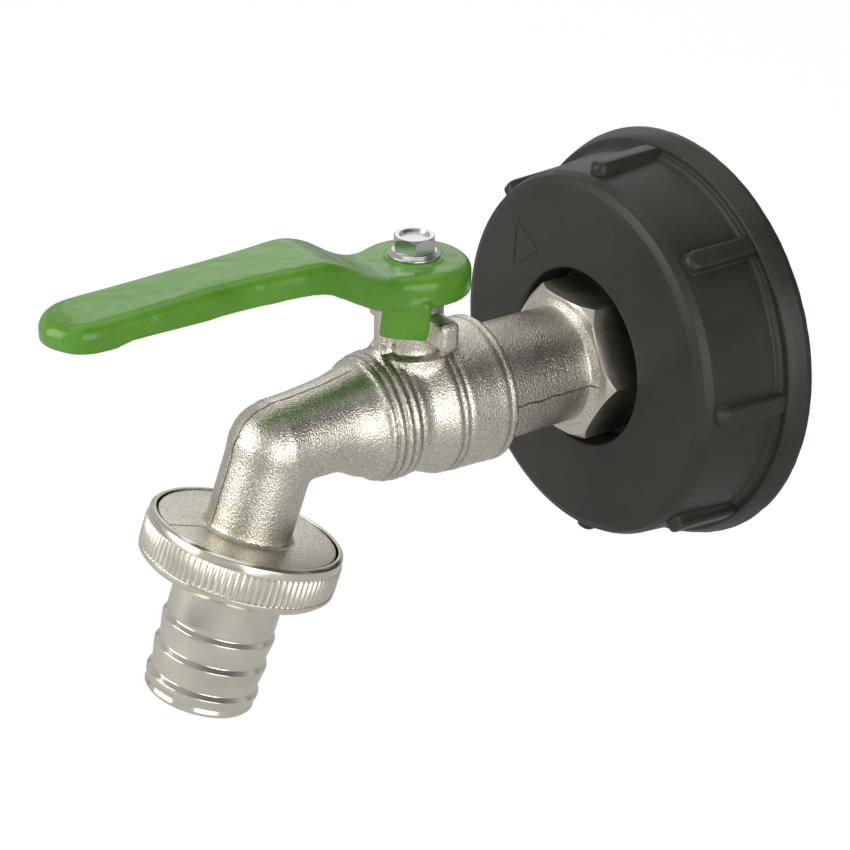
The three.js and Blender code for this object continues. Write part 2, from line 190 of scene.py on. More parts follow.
floor_mesh = bpy.data.meshes.new("floor")
floor_mesh.from_pydata([(x, y, FLOOR_Z) for x, y in ((-4, -4), (4, -4), (4, 4), (-4, 4))],
                       [], [(0, 1, 2, 3)])
new_object("floor", floor_mesh)

soft_box("front_box", (-0.3, -1.15, 0.5), 1.0, 0.9, 8)
soft_box("top_box", (-0.15, 0.05, 1.05), 1.0, 0.8, 2)
soft_box("back_box", (-0.95, 0.7, 0.62), 1.0, 0.7, 1.6)
soft_box("right_box", (1.1, -0.25, 0.22), 0.9, 0.9, 5)

world = bpy.data.worlds.new("studio")
world.use_nodes = True
sky = world.node_tree
heading = add_node(sky, "ShaderNodeTexCoord").outputs["Generated"]
height_of = add_node(sky, "ShaderNodeSeparateXYZ", {0: heading}).outputs["Z"]
fade = rescale(sky, height_of, 0.0, 0.9, 0.56, 0.38)
towards_dark = math_node(sky, "DOT_PRODUCT", heading, DARK_SIDE, kind="ShaderNodeVectorMath")
dim = rescale(sky, towards_dark, 0.62, 0.95, 1.0, 0.25)
studio_light = math_node(sky, "MULTIPLY", fade, dim)
seen_sky = add_node(sky, "ShaderNodeLightPath").outputs["Is Camera Ray"]
sky_strength = math_node(sky, "MAXIMUM", studio_light, seen_sky)
sky.links.new(sky_strength, sky.nodes["Background"].inputs["Strength"])
sky.nodes["Background"].inputs["Color"].default_value = (1, 1, 1, 1)
bpy.context.scene.world = world
bpy.context.scene.view_settings.view_transform = "Standard"
print("lights:", len(bpy.data.lights))

# %% [markdown]
# ## Shader groups that several finishes share
# Real surfaces are never one value all over. Three effects come back on this tap: a fine
# grain, slow cloudy changes as of handling and age, and the rings that a lathe tool leaves.
# Each is a node group, made once, and each finish places it with its own sizes.

# %% Group: grain
FLOAT, VECTOR = "NodeSocketFloat", "NodeSocketVector"


def grain_group():
    """Fine bumps with small pits, from a noise and a cell pattern."""
    tree, given, result = new_group(
        "grain", "ShaderNodeTree",
        [("Vector", VECTOR, None), ("Size", FLOAT, 1.0), ("Pits", FLOAT, 0.3)],
        [("Height", FLOAT), ("Fleck", FLOAT)])
    scale = math_node(tree, "DIVIDE", 1000.0, given["Size"])
    coarse = add_node(tree, "ShaderNodeTexNoise", {
        "Vector": given["Vector"], "Scale": scale, "Detail": 1.0, "Roughness": 0.5})
    cells = add_node(tree, "ShaderNodeTexVoronoi", {
        "Vector": given["Vector"], "Scale": scale, "Randomness": 1.0})
    pits = math_node(tree, "MULTIPLY", cells.outputs["Distance"], given["Pits"])
    height = math_node(tree, "ADD", coarse.outputs["Fac"], pits)
    tree.links.new(height, result["Height"])
    tree.links.new(rescale(tree, coarse.outputs["Fac"], 0.35, 0.65), result["Fleck"])
    return tree


GRAIN = grain_group()
print(GRAIN.name, "group:", len(GRAIN.nodes), "nodes")

# %% Group: clouds and handling marks

def clouds_group():
    """Slow changes over a piece, and a second mask of thin rubbed streaks."""
    tree, given, result = new_group(
        "clouds", "ShaderNodeTree",
        [("Vector", VECTOR, None), ("Size", FLOAT, 12.0)],
        [("Cloud", FLOAT), ("Streak", FLOAT)])
    scale = math_node(tree, "DIVIDE", 1000.0, given["Size"])
    cloud = add_node(tree, "ShaderNodeTexNoise", {
        "Vector": given["Vector"], "Scale": scale, "Detail": 4.0, "Distortion": 0.6})
    stretch = add_node(tree, "ShaderNodeMapping", {
        "Vector": given["Vector"], "Rotation": (0.5, 0.3, 0.7), "Scale": (9.0, 1.0, 5.0)})
    streak = add_node(tree, "ShaderNodeTexNoise", {
        "Vector": stretch.outputs[0], "Scale": scale, "Detail": 2.0})
    tree.links.new(rescale(tree, cloud.outputs["Fac"], 0.3, 0.7), result["Cloud"])
    tree.links.new(rescale(tree, streak.outputs["Fac"], 0.62, 0.72), result["Streak"])
    return tree


CLOUDS = clouds_group()
print(CLOUDS.name, "group:", len(CLOUDS.nodes), "nodes")

# %% Group: lathe rings

def from_axis(tree, first, second):
    """The distance from an axis, from the two coordinates across it."""
    flat = add_node(tree, "ShaderNodeCombineXYZ", {0: first, 1: second})
    return math_node(tree, "LENGTH", flat.outputs[0], kind="ShaderNodeVectorMath")


def rings_group():
    """Uneven rings round an axis that points along Z of the given vector."""
    tree, given, result = new_group(
        "lathe_rings", "ShaderNodeTree",
        [("Vector", VECTOR, None), ("Spacing", FLOAT, 0.25)],
        [("Height", FLOAT)])
    parts = add_node(tree, "ShaderNodeSeparateXYZ", {0: given["Vector"]}).outputs
    place = add_node(tree, "ShaderNodeCombineXYZ", {
        0: from_axis(tree, parts[0], parts[1]), 1: 0.0, 2: parts[2]})
    scale = math_node(tree, "DIVIDE", 1000.0, given["Spacing"])
    uneven = add_node(tree, "ShaderNodeTexNoise", {
        "Vector": place.outputs[0], "Scale": scale, "Detail": 2.0})
    tree.links.new(uneven.outputs["Fac"], result["Height"])
    return tree


RINGS = rings_group()
print(RINGS.name, "group:", len(RINGS.nodes), "nodes")

# %% [markdown]
# ## Finishes
# The casting is nickel over a sand-cast skin, so its bumps are large enough to sparkle. The
# machined faces, the nut and the tail are nickel over turned metal. The cap is matt black
# polypropylene. The lever is dipped in soft green vinyl, which is glossy and a little uneven.

# %% A helper that starts a finish

def start_finish(name, metallic=0.0, **fixed):
    """A material with a Principled shader. Constants go straight on the shader's sockets."""
    material = bpy.data.materials.new(name)
    material.use_nodes = True
    tree = material.node_tree
    shader = tree.nodes["Principled BSDF"]
    shader.inputs["Metallic"].default_value = metallic
    for key, value in fixed.items():
        shader.inputs[key.replace("_", " ")].default_value = value
    place = add_node(tree, "ShaderNodeTexCoord")
    return material, tree, shader, place.outputs["Object"]


def place_group(tree, group, vector, **values):
    """Places a shader group and gives its outputs."""
    inputs = {"Vector": vector, **values}
    return add_node(tree, "ShaderNodeGroup", inputs, node_tree=group).outputs


def mix_colour(tree, factor, first, second):
    """Mixes two colours by a factor. Each is three numbers or a wire."""
    colours = [value if isinstance(value, bpy.types.NodeSocket) else (*value, 1)
               for value in (first, second)]
    node = add_node(tree, "ShaderNodeMix", data_type="RGBA")
    ends = [socket for socket in node.inputs if socket.type == "RGBA"]
    tree.links.new(factor, node.inputs["Factor"])
    for socket, colour in zip(ends, colours):
        if isinstance(colour, bpy.types.NodeSocket):
            tree.links.new(colour, socket)
        else:
            socket.default_value = colour
    return next(socket for socket in node.outputs if socket.type == "RGBA")


def between(tree, mask, low, high):
    """Turns a 0 to 1 mask into a value between low and high."""
    return rescale(tree, mask, to_low=low, to_high=high)


def bump(tree, height, distance, strength=1.0, under=None):
    """A bump of that height in millimetres, over another bump if one is given."""
    inputs = {"Height": height, "Distance": distance * MM, "Strength": strength}
    if under is not None:
        inputs["Normal"] = under
    return add_node(tree, "ShaderNodeBump", inputs).outputs[0]


def finish_with(tree, shader, colour, roughness, normal):
    """Wires the three things that change over every surface to its shader."""
    tree.links.new(colour, shader.inputs["Base Color"])
    tree.links.new(roughness, shader.inputs["Roughness"])
    tree.links.new(normal, shader.inputs["Normal"])


print("each finish sets Base Color, Roughness and Normal from its masks")

# %% Metal finishes


GROOVES_AT = (-48.15, -57.0, -58.3, -66.3, -67.9, -69.6, -71.2)


def near(tree, value, place, reach):
    """A mask that is 1 where a value is within reach of a place, in millimetres."""
    return math_node(tree, "COMPARE", value, place * MM, reach * MM)


def seam_mask(tree, across, wander, keep):
    """A thin uneven line where a coordinate is nought, kept where every (value, from, to) rises."""
    away = math_node(tree, "ABSOLUTE", math_node(tree, "ADD", across, wander))
    mask = rescale(tree, away, 0.28 * MM, 0.12 * MM)
    for value, start, stop in keep:
        there = rescale(tree, value, start * MM, stop * MM)
        mask = math_node(tree, "MULTIPLY", mask, there)
    return mask


def cast_nickel():
    """Nickel on the sandy skin of the casting; its parting lines and shallow grooves get bumps and
    painted shade.
    """
    material, tree, shader, at = start_finish("satin_nickel", 1.0)
    sand = place_group(tree, GRAIN, at, Size=0.32, Pits=0.5)
    spark = place_group(tree, GRAIN, at, Size=0.27, Pits=0.2)
    clouds = place_group(tree, CLOUDS, at, Size=8.0)
    worn = mix_colour(tree, clouds["Cloud"], (0.72, 0.68, 0.58), (0.83, 0.785, 0.68))
    tone = mix_colour(tree, between(tree, sand["Fleck"], -0.2, 0.8), worn, (0.98, 0.94, 0.85))
    pitted = mix_colour(tree, between(tree, spark["Fleck"], 0.65, -0.2), tone, (0.36, 0.33, 0.27))
    x, y, z = add_node(tree, "ShaderNodeSeparateXYZ", {0: at}).outputs
    noisy = add_node(tree, "ShaderNodeTexNoise", {"Vector": at, "Scale": 420.0, "Detail": 3.0})
    wander = between(tree, noisy.outputs["Fac"], -0.5 * MM, 0.5 * MM)
    top_seam = seam_mask(tree, x, wander, [(y, -73.6, -74.6), (z, -13.5, -11)])
    side_seam = seam_mask(tree, z, wander, [(y, -46.6, -46.2), (y, -26, -27), (x, 5, 8)])
    seam = math_node(tree, "MAXIMUM", top_seam, side_seam)
    on_chamber = rescale(tree, from_axis(tree, x, z), 14.6 * MM, 14.2 * MM)
    grooves = near(tree, y, GROOVES_AT[0], 0.3)
    for place in GROOVES_AT[1:]:
        grooves = math_node(tree, "ADD", grooves, near(tree, y, place, 0.28))
    groove = math_node(tree, "MULTIPLY", grooves, on_chamber)
    # Painted shade: the colour is darkened in the chamber's grooves and along the parting lines,
    # where shade falls.
    painted_shade = math_node(tree, "MULTIPLY_ADD", groove, 0.4, between(tree, seam, 0.0, 0.8),
                      use_clamp=True)
    colour = mix_colour(tree, painted_shade, pitted, (0.17, 0.15, 0.12))
    lines = bump(tree, math_node(tree, "SUBTRACT", seam, groove), 0.24, 0.8)
    finish_with(tree, shader, colour, between(tree, clouds["Cloud"], 0.25, 0.35),
                bump(tree, sand["Height"], 0.095, 0.85, lines))
    return material


def turned_nickel(name, base, roughness, axis_place, ring_bump, spacing=0.3):
    """Nickel over turned metal: fine rings round an axis, faint stains and rubbed streaks."""
    material, tree, shader, at = start_finish(name, 1.0)
    turn = axis_place.to_3x3().inverted().to_euler()
    local = add_node(tree, "ShaderNodeMapping", {
        "Vector": at, "Rotation": turn,
        "Location": axis_place.inverted().translation * MM})
    x, y, z = add_node(tree, "ShaderNodeSeparateXYZ", {0: local.outputs[0]}).outputs
    swapped = add_node(tree, "ShaderNodeCombineXYZ", {0: x, 1: z, 2: y})
    rings = place_group(tree, RINGS, swapped.outputs[0], Spacing=spacing)
    clouds = place_group(tree, CLOUDS, at, Size=7.0)
    dull = tuple(0.86 * c for c in base)
    stained = mix_colour(tree, clouds["Cloud"], dull, base)
    colour = mix_colour(tree, between(tree, clouds["Streak"], 0.0, 0.2), stained, (0.9, 0.88, 0.84))
    finish_with(tree, shader, colour,
                between(tree, clouds["Cloud"], roughness, roughness + 0.09),
                bump(tree, rings["Height"], ring_bump, 0.5))
    return material


MAIN_AXIS = Matrix()
satin_nickel = cast_nickel()
hex_nickel = turned_nickel("hex_nickel", (0.76, 0.72, 0.62), 0.27, MAIN_AXIS, 0.03)
bright_nickel = turned_nickel("bright_nickel", (0.88, 0.84, 0.73), 0.13, ON_OUTLET, 0.012)
knurl_nickel = turned_nickel("knurl_nickel", (0.86, 0.82, 0.71), 0.26, ON_OUTLET, 0.02)
stem_nickel = turned_nickel("stem_nickel", (0.78, 0.75, 0.68), 0.18, ON_STEM, 0.015)
zinc_steel = turned_nickel("zinc_steel", (0.74, 0.74, 0.73), 0.17, ON_STEM, 0.015)
METALS = [satin_nickel, hex_nickel, bright_nickel, knurl_nickel, stem_nickel, zinc_steel]
print("metal finishes:", ", ".join(metal.name for metal in METALS))

# %% Plastic, coating and rubber finishes

def black_plastic_finish():
    """Matt moulded plastic: a soft spark-eroded grain, grey scuffs and slow mottling."""
    material, tree, shader, at = start_finish("black_plastic", Specular_IOR_Level=0.4)
    skin = place_group(tree, GRAIN, at, Size=0.5, Pits=0.2)
    clouds = place_group(tree, CLOUDS, at, Size=16.0)
    mottled = mix_colour(tree, clouds["Cloud"], (0.022, 0.0218, 0.0165), (0.034, 0.0332, 0.025))
    colour = mix_colour(tree, between(tree, clouds["Streak"], 0.0, 0.25), mottled,
                        (0.05, 0.049, 0.046))
    finish_with(tree, shader, colour, between(tree, clouds["Cloud"], 0.36, 0.46),
                bump(tree, skin["Height"], 0.04, 0.5))
    return material


def green_coat_finish():
    """Glossy dipped vinyl: thick and thin patches, slow waves and a few fine specks."""
    material, tree, shader, at = start_finish(
        "green_coat", Specular_IOR_Level=0.5, Coat_Weight=0.12, Coat_Roughness=0.08)
    clouds = place_group(tree, CLOUDS, at, Size=10.0)
    specks = place_group(tree, GRAIN, at, Size=0.9, Pits=0.1)
    thick = mix_colour(tree, clouds["Cloud"], (0.085, 0.275, 0.010), (0.125, 0.345, 0.026))
    colour = mix_colour(tree, between(tree, specks["Fleck"], 0.0, 0.12), thick,
                        (0.17, 0.42, 0.06))
    waves = add_node(tree, "ShaderNodeTexNoise", {
        "Vector": at, "Scale": 170.0, "Detail": 1.5, "Distortion": 0.4})
    rolling = bump(tree, waves.outputs["Fac"], 1.1, 0.4)
    finish_with(tree, shader, colour, between(tree, clouds["Cloud"], 0.16, 0.27),
                bump(tree, specks["Height"], 0.03, 0.35, rolling))
    return material


def plain_moulded(name, dark, light, rough_low, rough_high, grain_size):
    """A moulded seal or seat: fine grain and slow changes of tone."""
    material, tree, shader, at = start_finish(name, Specular_IOR_Level=0.4)
    skin = place_group(tree, GRAIN, at, Size=grain_size, Pits=0.3)
    clouds = place_group(tree, CLOUDS, at, Size=6.0)
    finish_with(tree, shader, mix_colour(tree, clouds["Cloud"], dark, light),
                between(tree, clouds["Cloud"], rough_low, rough_high),
                bump(tree, skin["Height"], 0.04, 0.5))
    return material


black_plastic = black_plastic_finish()
green_coat = green_coat_finish()
rubber = plain_moulded("rubber", (0.012, 0.012, 0.012), (0.028, 0.027, 0.026), 0.3, 0.5, 0.4)
white_ptfe = plain_moulded("white_ptfe", (0.74, 0.73, 0.69), (0.84, 0.83, 0.79), 0.35, 0.5, 0.5)
OTHERS = [black_plastic, green_coat, rubber, white_ptfe]
print("other finishes:", ", ".join(finish.name for finish in OTHERS))

# %% [markdown]
# ## Shaping helpers
# Most pieces are turned: a profile of radius and height is spun about an axis. Real turned
# edges are never razor sharp, so a profile point may carry a fillet radius, and the helper
# replaces that corner with a short arc before the profile is spun.

# %% Fillets, lathe and joining

def filleted(profile, steps=4):
    """Replaces each (r, y, fillet) corner of a closed profile by an arc of that radius."""
    points = []
    count = len(profile)
    for index, corner in enumerate(profile):
        here = Vector(corner[:2])
        size = corner[2] if len(corner) > 2 else 0
        before = Vector(profile[index - 1][:2]) - here
        after = Vector(profile[(index + 1) % count][:2]) - here
        if size <= 0 or before.length < 1e-6 or after.length < 1e-6:
            points.append(here)
            continue
        half = before.angle(after) / 2
        reach = min(size / tan(half), 0.48 * before.length, 0.48 * after.length)
        start, end = here + before.normalized() * reach, here + after.normalized() * reach
        for k in range(steps + 1):
            t = k / steps
            points.append((1 - t) ** 2 * start + 2 * t * (1 - t) * here + t * t * end)
    return points


def shaded(mesh, angle=32):
    """Smooth shading with the real edges kept sharp."""
    mesh.shade_smooth()
    mesh.set_sharp_from_angle(angle=radians(angle))
    return mesh


def mesh_from(name, build, place=MAIN_AXIS):
    """A placed mesh in metres from a bmesh that build() fills in millimetres, faces outward."""
    work = bmesh.new()
    build(work)
    bmesh.ops.remove_doubles(work, verts=work.verts, dist=1e-5)
    bmesh.ops.recalc_face_normals(work, faces=work.faces)
    mesh = bpy.data.meshes.new(name)
    work.to_mesh(mesh)
    work.free()
    mesh.transform(Matrix.Scale(MM, 4) @ place)
    return mesh


def lofted(work, outlines):
    """Skins a row of closed outlines, each a list of (x, y, z), and closes both ends."""
    loops = [[work.verts.new(point) for point in outline] for outline in outlines]
    for first, second in zip(loops, loops[1:]):
        for a in range(len(first)):
            b = (a + 1) % len(first)
            work.faces.new((first[a], first[b], second[b], second[a]))
    work.faces.new(loops[0])
    work.faces.new(loops[-1])


def turned(name, profile, sides=128, place=MAIN_AXIS):
    """Spins a closed (r, y) profile about Y, in millimetres, then places it."""
    points = filleted(profile)

    def build(work):
        loops = []
        for r, y in points:
            if r < 1e-6:
                loops.append([work.verts.new((0, y, 0))] * sides)
                continue
            angles = (2 * pi * k / sides for k in range(sides))
            loops.append([work.verts.new((r * sin(a), y, r * cos(a))) for a in angles])
        for index in range(len(loops)):
            first, second = loops[index], loops[(index + 1) % len(loops)]
            if first[0] is first[1] and second[0] is second[1]:
                continue
            for k in range(sides):
                corners = [first[k], first[(k + 1) % sides], second[(k + 1) % sides], second[k]]
                work.faces.new(list(dict.fromkeys(corners)))

    return shaded(mesh_from(name, build, place))


def make_piece(name, parts, body, nodes):
    """Joins (mesh, material) parts into one piece that stands for CAD nodes on a body."""
    work = bmesh.new()
    materials = []
    for mesh, material in parts:
        if material not in materials:
            materials.append(material)
        old = len(work.faces)
        work.from_mesh(mesh)
        work.faces.ensure_lookup_table()
        for face in work.faces[old:]:
            face.material_index = materials.index(material)
    mesh = bpy.data.meshes.new(name)
    work.to_mesh(mesh)
    work.free()
    for material in materials:
        mesh.materials.append(material)
    thing = new_object(name, mesh)
    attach(thing, body)
    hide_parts(*nodes)
    mesh.calc_loop_triangles()
    print(f"{name}: {len(mesh.loop_triangles)} triangles")


print("a corner with a 0.5 mm fillet becomes", len(filleted([(0, 0), (4, 0, 0.5), (4, 4)])) - 2,
      "points")

# %% [markdown]
# ## Geometry Nodes helpers
# Ribs, knurl teeth and threads repeat round an axis or follow a spiral, so Geometry Nodes
# make them. The castings follow a rule of another kind: they are distance fields. Every
# point in space gets its distance to the surface, fields are blended where the pattern
# maker would put a fillet, and the surface is drawn where the distance is nought.

# %% Run a tree on a mesh and keep the plain result
GEOMETRY, INTEGER, MATERIAL = "NodeSocketGeometry", "NodeSocketInt", "NodeSocketMaterial"


def new_tree(name, inputs):
    """Starts a geometry tree with a mesh in, a mesh out, and the given (name, type, value)."""
    return new_group(name, "GeometryNodeTree",
                     [("Geometry", GEOMETRY, None), *inputs, ("Material", MATERIAL, None)],
                     [("Geometry", GEOMETRY)])


def end_tree(tree, given, result, geometry):
    """Ends a tree: instances become real faces, and the material is set."""
    real = add_node(tree, "GeometryNodeRealizeInstances", {0: geometry})
    finished = add_node(tree, "GeometryNodeSetMaterial", {
        "Geometry": real.outputs[0], "Material": given["Material"]})
    tree.links.new(finished.outputs[0], result["Geometry"])


def evaluated_mesh(thing):
    """The mesh of an object with its modifiers applied."""
    bpy.context.view_layer.update()
    evaluated = thing.evaluated_get(bpy.context.evaluated_depsgraph_get())
    return bpy.data.meshes.new_from_object(evaluated)


def run_tree(tree, mesh, values, name):
    """Evaluates a geometry tree on a mesh with the given inputs and gives a plain mesh."""
    host = new_object(name, mesh)
    modifier = host.modifiers.new(name, "NODES")
    modifier.node_group = tree
    sockets = {item.name: item.identifier for item in tree.interface.items_tree
               if item.item_type == "SOCKET" and item.in_out == "INPUT"}
    for label, value in values.items():
        modifier[sockets[label]] = value
    result = evaluated_mesh(host)
    host.modifiers.remove(modifier)
    bpy.data.objects.remove(host)
    return result


print("a tree is run on a mesh, and a plain mesh comes back")

# %% Tree: copies round the Y axis

def around_tree():
    """Turns the incoming mesh into evenly spaced copies round the Y axis."""
    tree, given, result = new_tree("around_axis", [("Copies", INTEGER, 8), ("Phase", FLOAT, 0.0)])
    points = add_node(tree, "GeometryNodeMeshLine", {
        "Count": given["Copies"], "Offset": (0, 0, 0)})
    order = add_node(tree, "GeometryNodeInputIndex")
    step = math_node(tree, "DIVIDE", 2 * pi, given["Copies"])
    angle = math_node(tree, "MULTIPLY_ADD", order.outputs[0], step, given["Phase"])
    turn = add_node(tree, "ShaderNodeCombineXYZ", {1: angle})
    rotation = add_node(tree, "FunctionNodeEulerToRotation", {0: turn.outputs[0]})
    copies = add_node(tree, "GeometryNodeInstanceOnPoints", {
        "Points": points.outputs[0], "Instance": given["Geometry"],
        "Rotation": rotation.outputs[0]})
    end_tree(tree, given, result, copies.outputs[0])
    return tree


AROUND = around_tree()
print(AROUND.name, "tree:", len(AROUND.nodes), "nodes")


def around(mesh, copies, phase, material):
    """Evenly spaced copies of a mesh round the Y axis, as one mesh."""
    values = {"Copies": copies, "Phase": phase, "Material": material}
    print(f"{copies} copies of {mesh.name}, {len(mesh.polygons)} faces each")
    return run_tree(AROUND, mesh, values, mesh.name + "_copies")

# %% Tree: a thread that climbs along the Y axis

def thread_tree():
    """Sweeps a trapezoid along a spiral and lays the spiral along the Y axis."""
    tree, given, result = new_tree("thread", [
        ("Radius", FLOAT, 0.03), ("Length", FLOAT, 0.012), ("Turns", FLOAT, 2.0),
        ("Depth", FLOAT, 0.002), ("Root", FLOAT, 0.003), ("Crest", FLOAT, 0.0015),
        ("Sides", INTEGER, 96)])
    spiral = add_node(tree, "GeometryNodeCurveSpiral", {
        "Resolution": given["Sides"], "Rotations": given["Turns"],
        "Start Radius": given["Radius"], "End Radius": given["Radius"],
        "Height": given["Length"]})
    level_curve = add_node(tree, "GeometryNodeSetCurveNormal", {0: spiral.outputs[0]})
    level_curve.mode = "Z_UP"
    section = add_node(tree, "GeometryNodeCurvePrimitiveQuadrilateral", {
        "Height": given["Depth"], "Bottom Width": given["Root"], "Top Width": given["Crest"],
        "Offset": 0.0}, mode="TRAPEZOID")
    quarter = add_node(tree, "GeometryNodeTransform", {
        "Geometry": section.outputs[0], "Rotation": (0, 0, pi / 2)})
    sweep = add_node(tree, "GeometryNodeCurveToMesh", {
        "Curve": level_curve.outputs[0], "Profile Curve": quarter.outputs[0],
        "Fill Caps": True})
    laid = add_node(tree, "GeometryNodeTransform", {
        "Geometry": sweep.outputs[0], "Rotation": (pi / 2, 0, 0)})
    end_tree(tree, given, result, laid.outputs[0])
    return tree


THREAD = thread_tree()
print(THREAD.name, "tree:", len(THREAD.nodes), "nodes")


def thread(name, start_y, turns, sides, material, **sizes):
    """A thread that runs from start_y towards -Y, with its sizes in millimetres."""
    values = {"Turns": turns, "Sides": sides, "Material": material}
    values.update((label, size * MM) for label, size in sizes.items())
    mesh = run_tree(THREAD, bpy.data.meshes.new(name), values, name)
    mesh.transform(Matrix.Translation((0, start_y * MM, 0)))
    print(f"{name}: {turns} turns, {len(mesh.polygons)} faces")
    return shaded(mesh, 40)

# %% Distance fields as nodes

class Field:
    """A number at every point of space. Sums, products and blends of fields become nodes."""

    def __init__(self, tree, socket):
        self.tree, self.socket = tree, socket

    def math(self, operation, *others):
        """Any calculation of a Math node with this field first."""
        values = [other.socket if isinstance(other, Field) else other for other in others]
        return Field(self.tree, math_node(self.tree, operation, self.socket, *values))

    def __add__(self, other):
        return self.math("ADD", other)

    def __sub__(self, other):
        return self.math("SUBTRACT", other)

    def __mul__(self, other):
        return self.math("MULTIPLY", other)

    def __neg__(self):
        return self.math("MULTIPLY", -1.0)

    def abs(self):
        return self.math("ABSOLUTE")

    def within(self, other, blend=0.0):
        """Keeps what is inside both fields. The edge is softened over blend millimetres."""
        return self.math("SMOOTH_MAX", other, blend) if blend else self.math("MAXIMUM", other)

    def join(self, other, blend=0.0):
        """Joins two fields. The inner corner gets a fillet of about blend millimetres."""
        return self.math("SMOOTH_MIN", other, blend) if blend else self.math("MINIMUM", other)

    def cut(self, other, blend=0.0):
        """Takes the other field away from this one."""
        return self.within(-other, blend)


def length(*parts):
    """The length of a vector of fields."""
    total = parts[0] * parts[0]
    for part in parts[1:]:
        total = total + part * part
    return total.math("SQRT")


def curve_of(field, points, smooth=True):
    """A value that follows (place, value) points as the field changes."""
    low, high = points[0][0], points[-1][0]
    if low > high:
        points, low, high = points[::-1], high, low
    values = [value for _, value in points]
    least, most = min(values) - 1.0, max(values) + 1.0
    tree = field.tree
    share = rescale(tree, field.socket, low, high)
    node = add_node(tree, "ShaderNodeFloatCurve", {"Value": share})
    spline = node.mapping.curves[0]
    wanted = [((place - low) / (high - low), (value - least) / (most - least))
              for place, value in points]
    spline.points[0].location = wanted[0]
    spline.points[1].location = wanted[-1]
    for spot in wanted[1:-1]:
        spline.points.new(*spot)
    for point in spline.points:
        point.handle_type = "AUTO_CLAMPED" if smooth else "VECTOR"
    node.mapping.update()
    return Field(tree, between(tree, node.outputs[0], least, most))


def slab(field, low, high):
    """The distance to the space between two values."""
    return (field - (low + high) / 2).abs() - (high - low) / 2


def block(x, y, z, size_x, size_y, size_z, edge):
    """A box of full sizes about the origin of three fields, with rounded edges."""
    out_x, out_y, out_z = (value.abs() - (size / 2 - edge)
                           for value, size in ((x, size_x), (y, size_y), (z, size_z)))
    outside = length(*(value.math("MAXIMUM", 0.0) for value in (out_x, out_y, out_z)))
    inside = out_x.math("MAXIMUM", out_y).math("MAXIMUM", out_z).math("MINIMUM", 0.0)
    return outside + inside - edge


print("a field can", ", ".join(name for name in vars(Field) if name[0] != "_"))

# %% Turn a distance field into a mesh

def field_mesh(name, describe, low, high, material, cell=0.4):
    """Draws the surface of a described field, in millimetres, between two corners."""
    tree, given, result = new_tree(name + "_field", [
        ("Cell", FLOAT, cell), ("Lowest", VECTOR, None), ("Highest", VECTOR, None)])
    place = add_node(tree, "GeometryNodeInputPosition")
    parts = add_node(tree, "ShaderNodeSeparateXYZ", {0: place.outputs[0]})
    x, y, z = (Field(tree, socket) * 1000.0 for socket in parts.outputs)
    distance = describe(x, y, z)
    span = add_node(tree, "ShaderNodeVectorMath", {
        0: given["Highest"], 1: given["Lowest"]}, operation="SUBTRACT")
    count = add_node(tree, "ShaderNodeVectorMath", {
        0: span.outputs[0], "Scale": math_node(tree, "DIVIDE", 1000.0, given["Cell"])},
        operation="SCALE")
    sides = add_node(tree, "ShaderNodeSeparateXYZ", {0: count.outputs[0]})
    volume = add_node(tree, "GeometryNodeVolumeCube", {
        "Density": (-distance).socket, "Background": -1.0, "Min": given["Lowest"],
        "Max": given["Highest"], "Resolution X": sides.outputs[0],
        "Resolution Y": sides.outputs[1], "Resolution Z": sides.outputs[2]})
    skin = add_node(tree, "GeometryNodeVolumeToMesh", {
        "Volume": volume.outputs[0], "Threshold": 0.0, "Adaptivity": 0.0})
    end_tree(tree, given, result, skin.outputs[0])
    values = {"Cell": cell, "Lowest": tuple(v * MM for v in low),
              "Highest": tuple(v * MM for v in high), "Material": material}
    mesh = run_tree(tree, bpy.data.meshes.new(name), values, name)
    work = bmesh.new()
    work.from_mesh(mesh)
    if work.calc_volume(signed=True) < 0:
        bmesh.ops.reverse_faces(work, faces=work.faces)
    work.to_mesh(mesh)
    work.free()
    mesh.shade_smooth()
    print(f"{name} field: {len(mesh.polygons)} faces of about {cell} mm")
    return mesh

# %% [markdown]
# ## The casting: ball chamber, neck, spout and elbow
# The body is one sand casting. Nothing on it has a sharp inner corner, because the pattern
# had fillets so that the sand would not break. That is why it is drawn as a distance field:
# a turned chamber, a leaning run, a ball elbow and a drop, all blended into each other, with
# the stem's neck, its fin and the two stop lugs grown out of the top. The water's way is cut
# out of the same field. The boss under the elbow is machined, so it is a turned part of its own.

# %% The casting's field
CHAMBER = [(-79, 7.6), (-78, 8.2), (-77, 8.75), (-76.2, 9.3), (-75, 9.9), (-73.6, 10.3),
           (-72.6, 10.8), (-71.9, 11.6), (-71.2, 11.3), (-70.4, 12.05), (-69.6, 11.5),
           (-68.75, 12.3), (-67.9, 11.6), (-67.1, 12.25), (-66.3, 11.6), (-65.5, 11.95),
           (-64.6, 11.75), (-63.4, 11.8), (-62.9, 11.95), (-61.6, 12.5), (-60.2, 13.1),
           (-58.9, 13.5), (-58.3, 13.15), (-57.6, 13.65), (-57.0, 13.3), (-56.3, 13.72),
           (-55.0, 13.68), (-50.5, 13.8), (-48.6, 13.95), (-48.1, 13.7), (-47.7, 14.0),
           (-46, 14.0)]
CHAMBER_BORE, MOUTH_BORE = 10.1, 12.5
SPOUT_R, SPOUT_BORE = 7.9, 5.6
NECK_R, NECK_TOP, STEM_BORE, COLLAR_BORE = 5.6, 22.2, 4.05, 4.85
BOSS_TOP, BOSS_END, BOSS_R = 16.2, 19.9, 16.35


def outlet_coordinates(x, y, z):
    """Distance from the outlet's axis and distance along it from the elbow."""
    from_elbow = y - elbow_y
    along = from_elbow * outlet_axis.y + z * outlet_axis.z
    squared = x * x + from_elbow * from_elbow + z * z - along * along
    return squared.math("MAXIMUM", 0.0).math("SQRT"), along


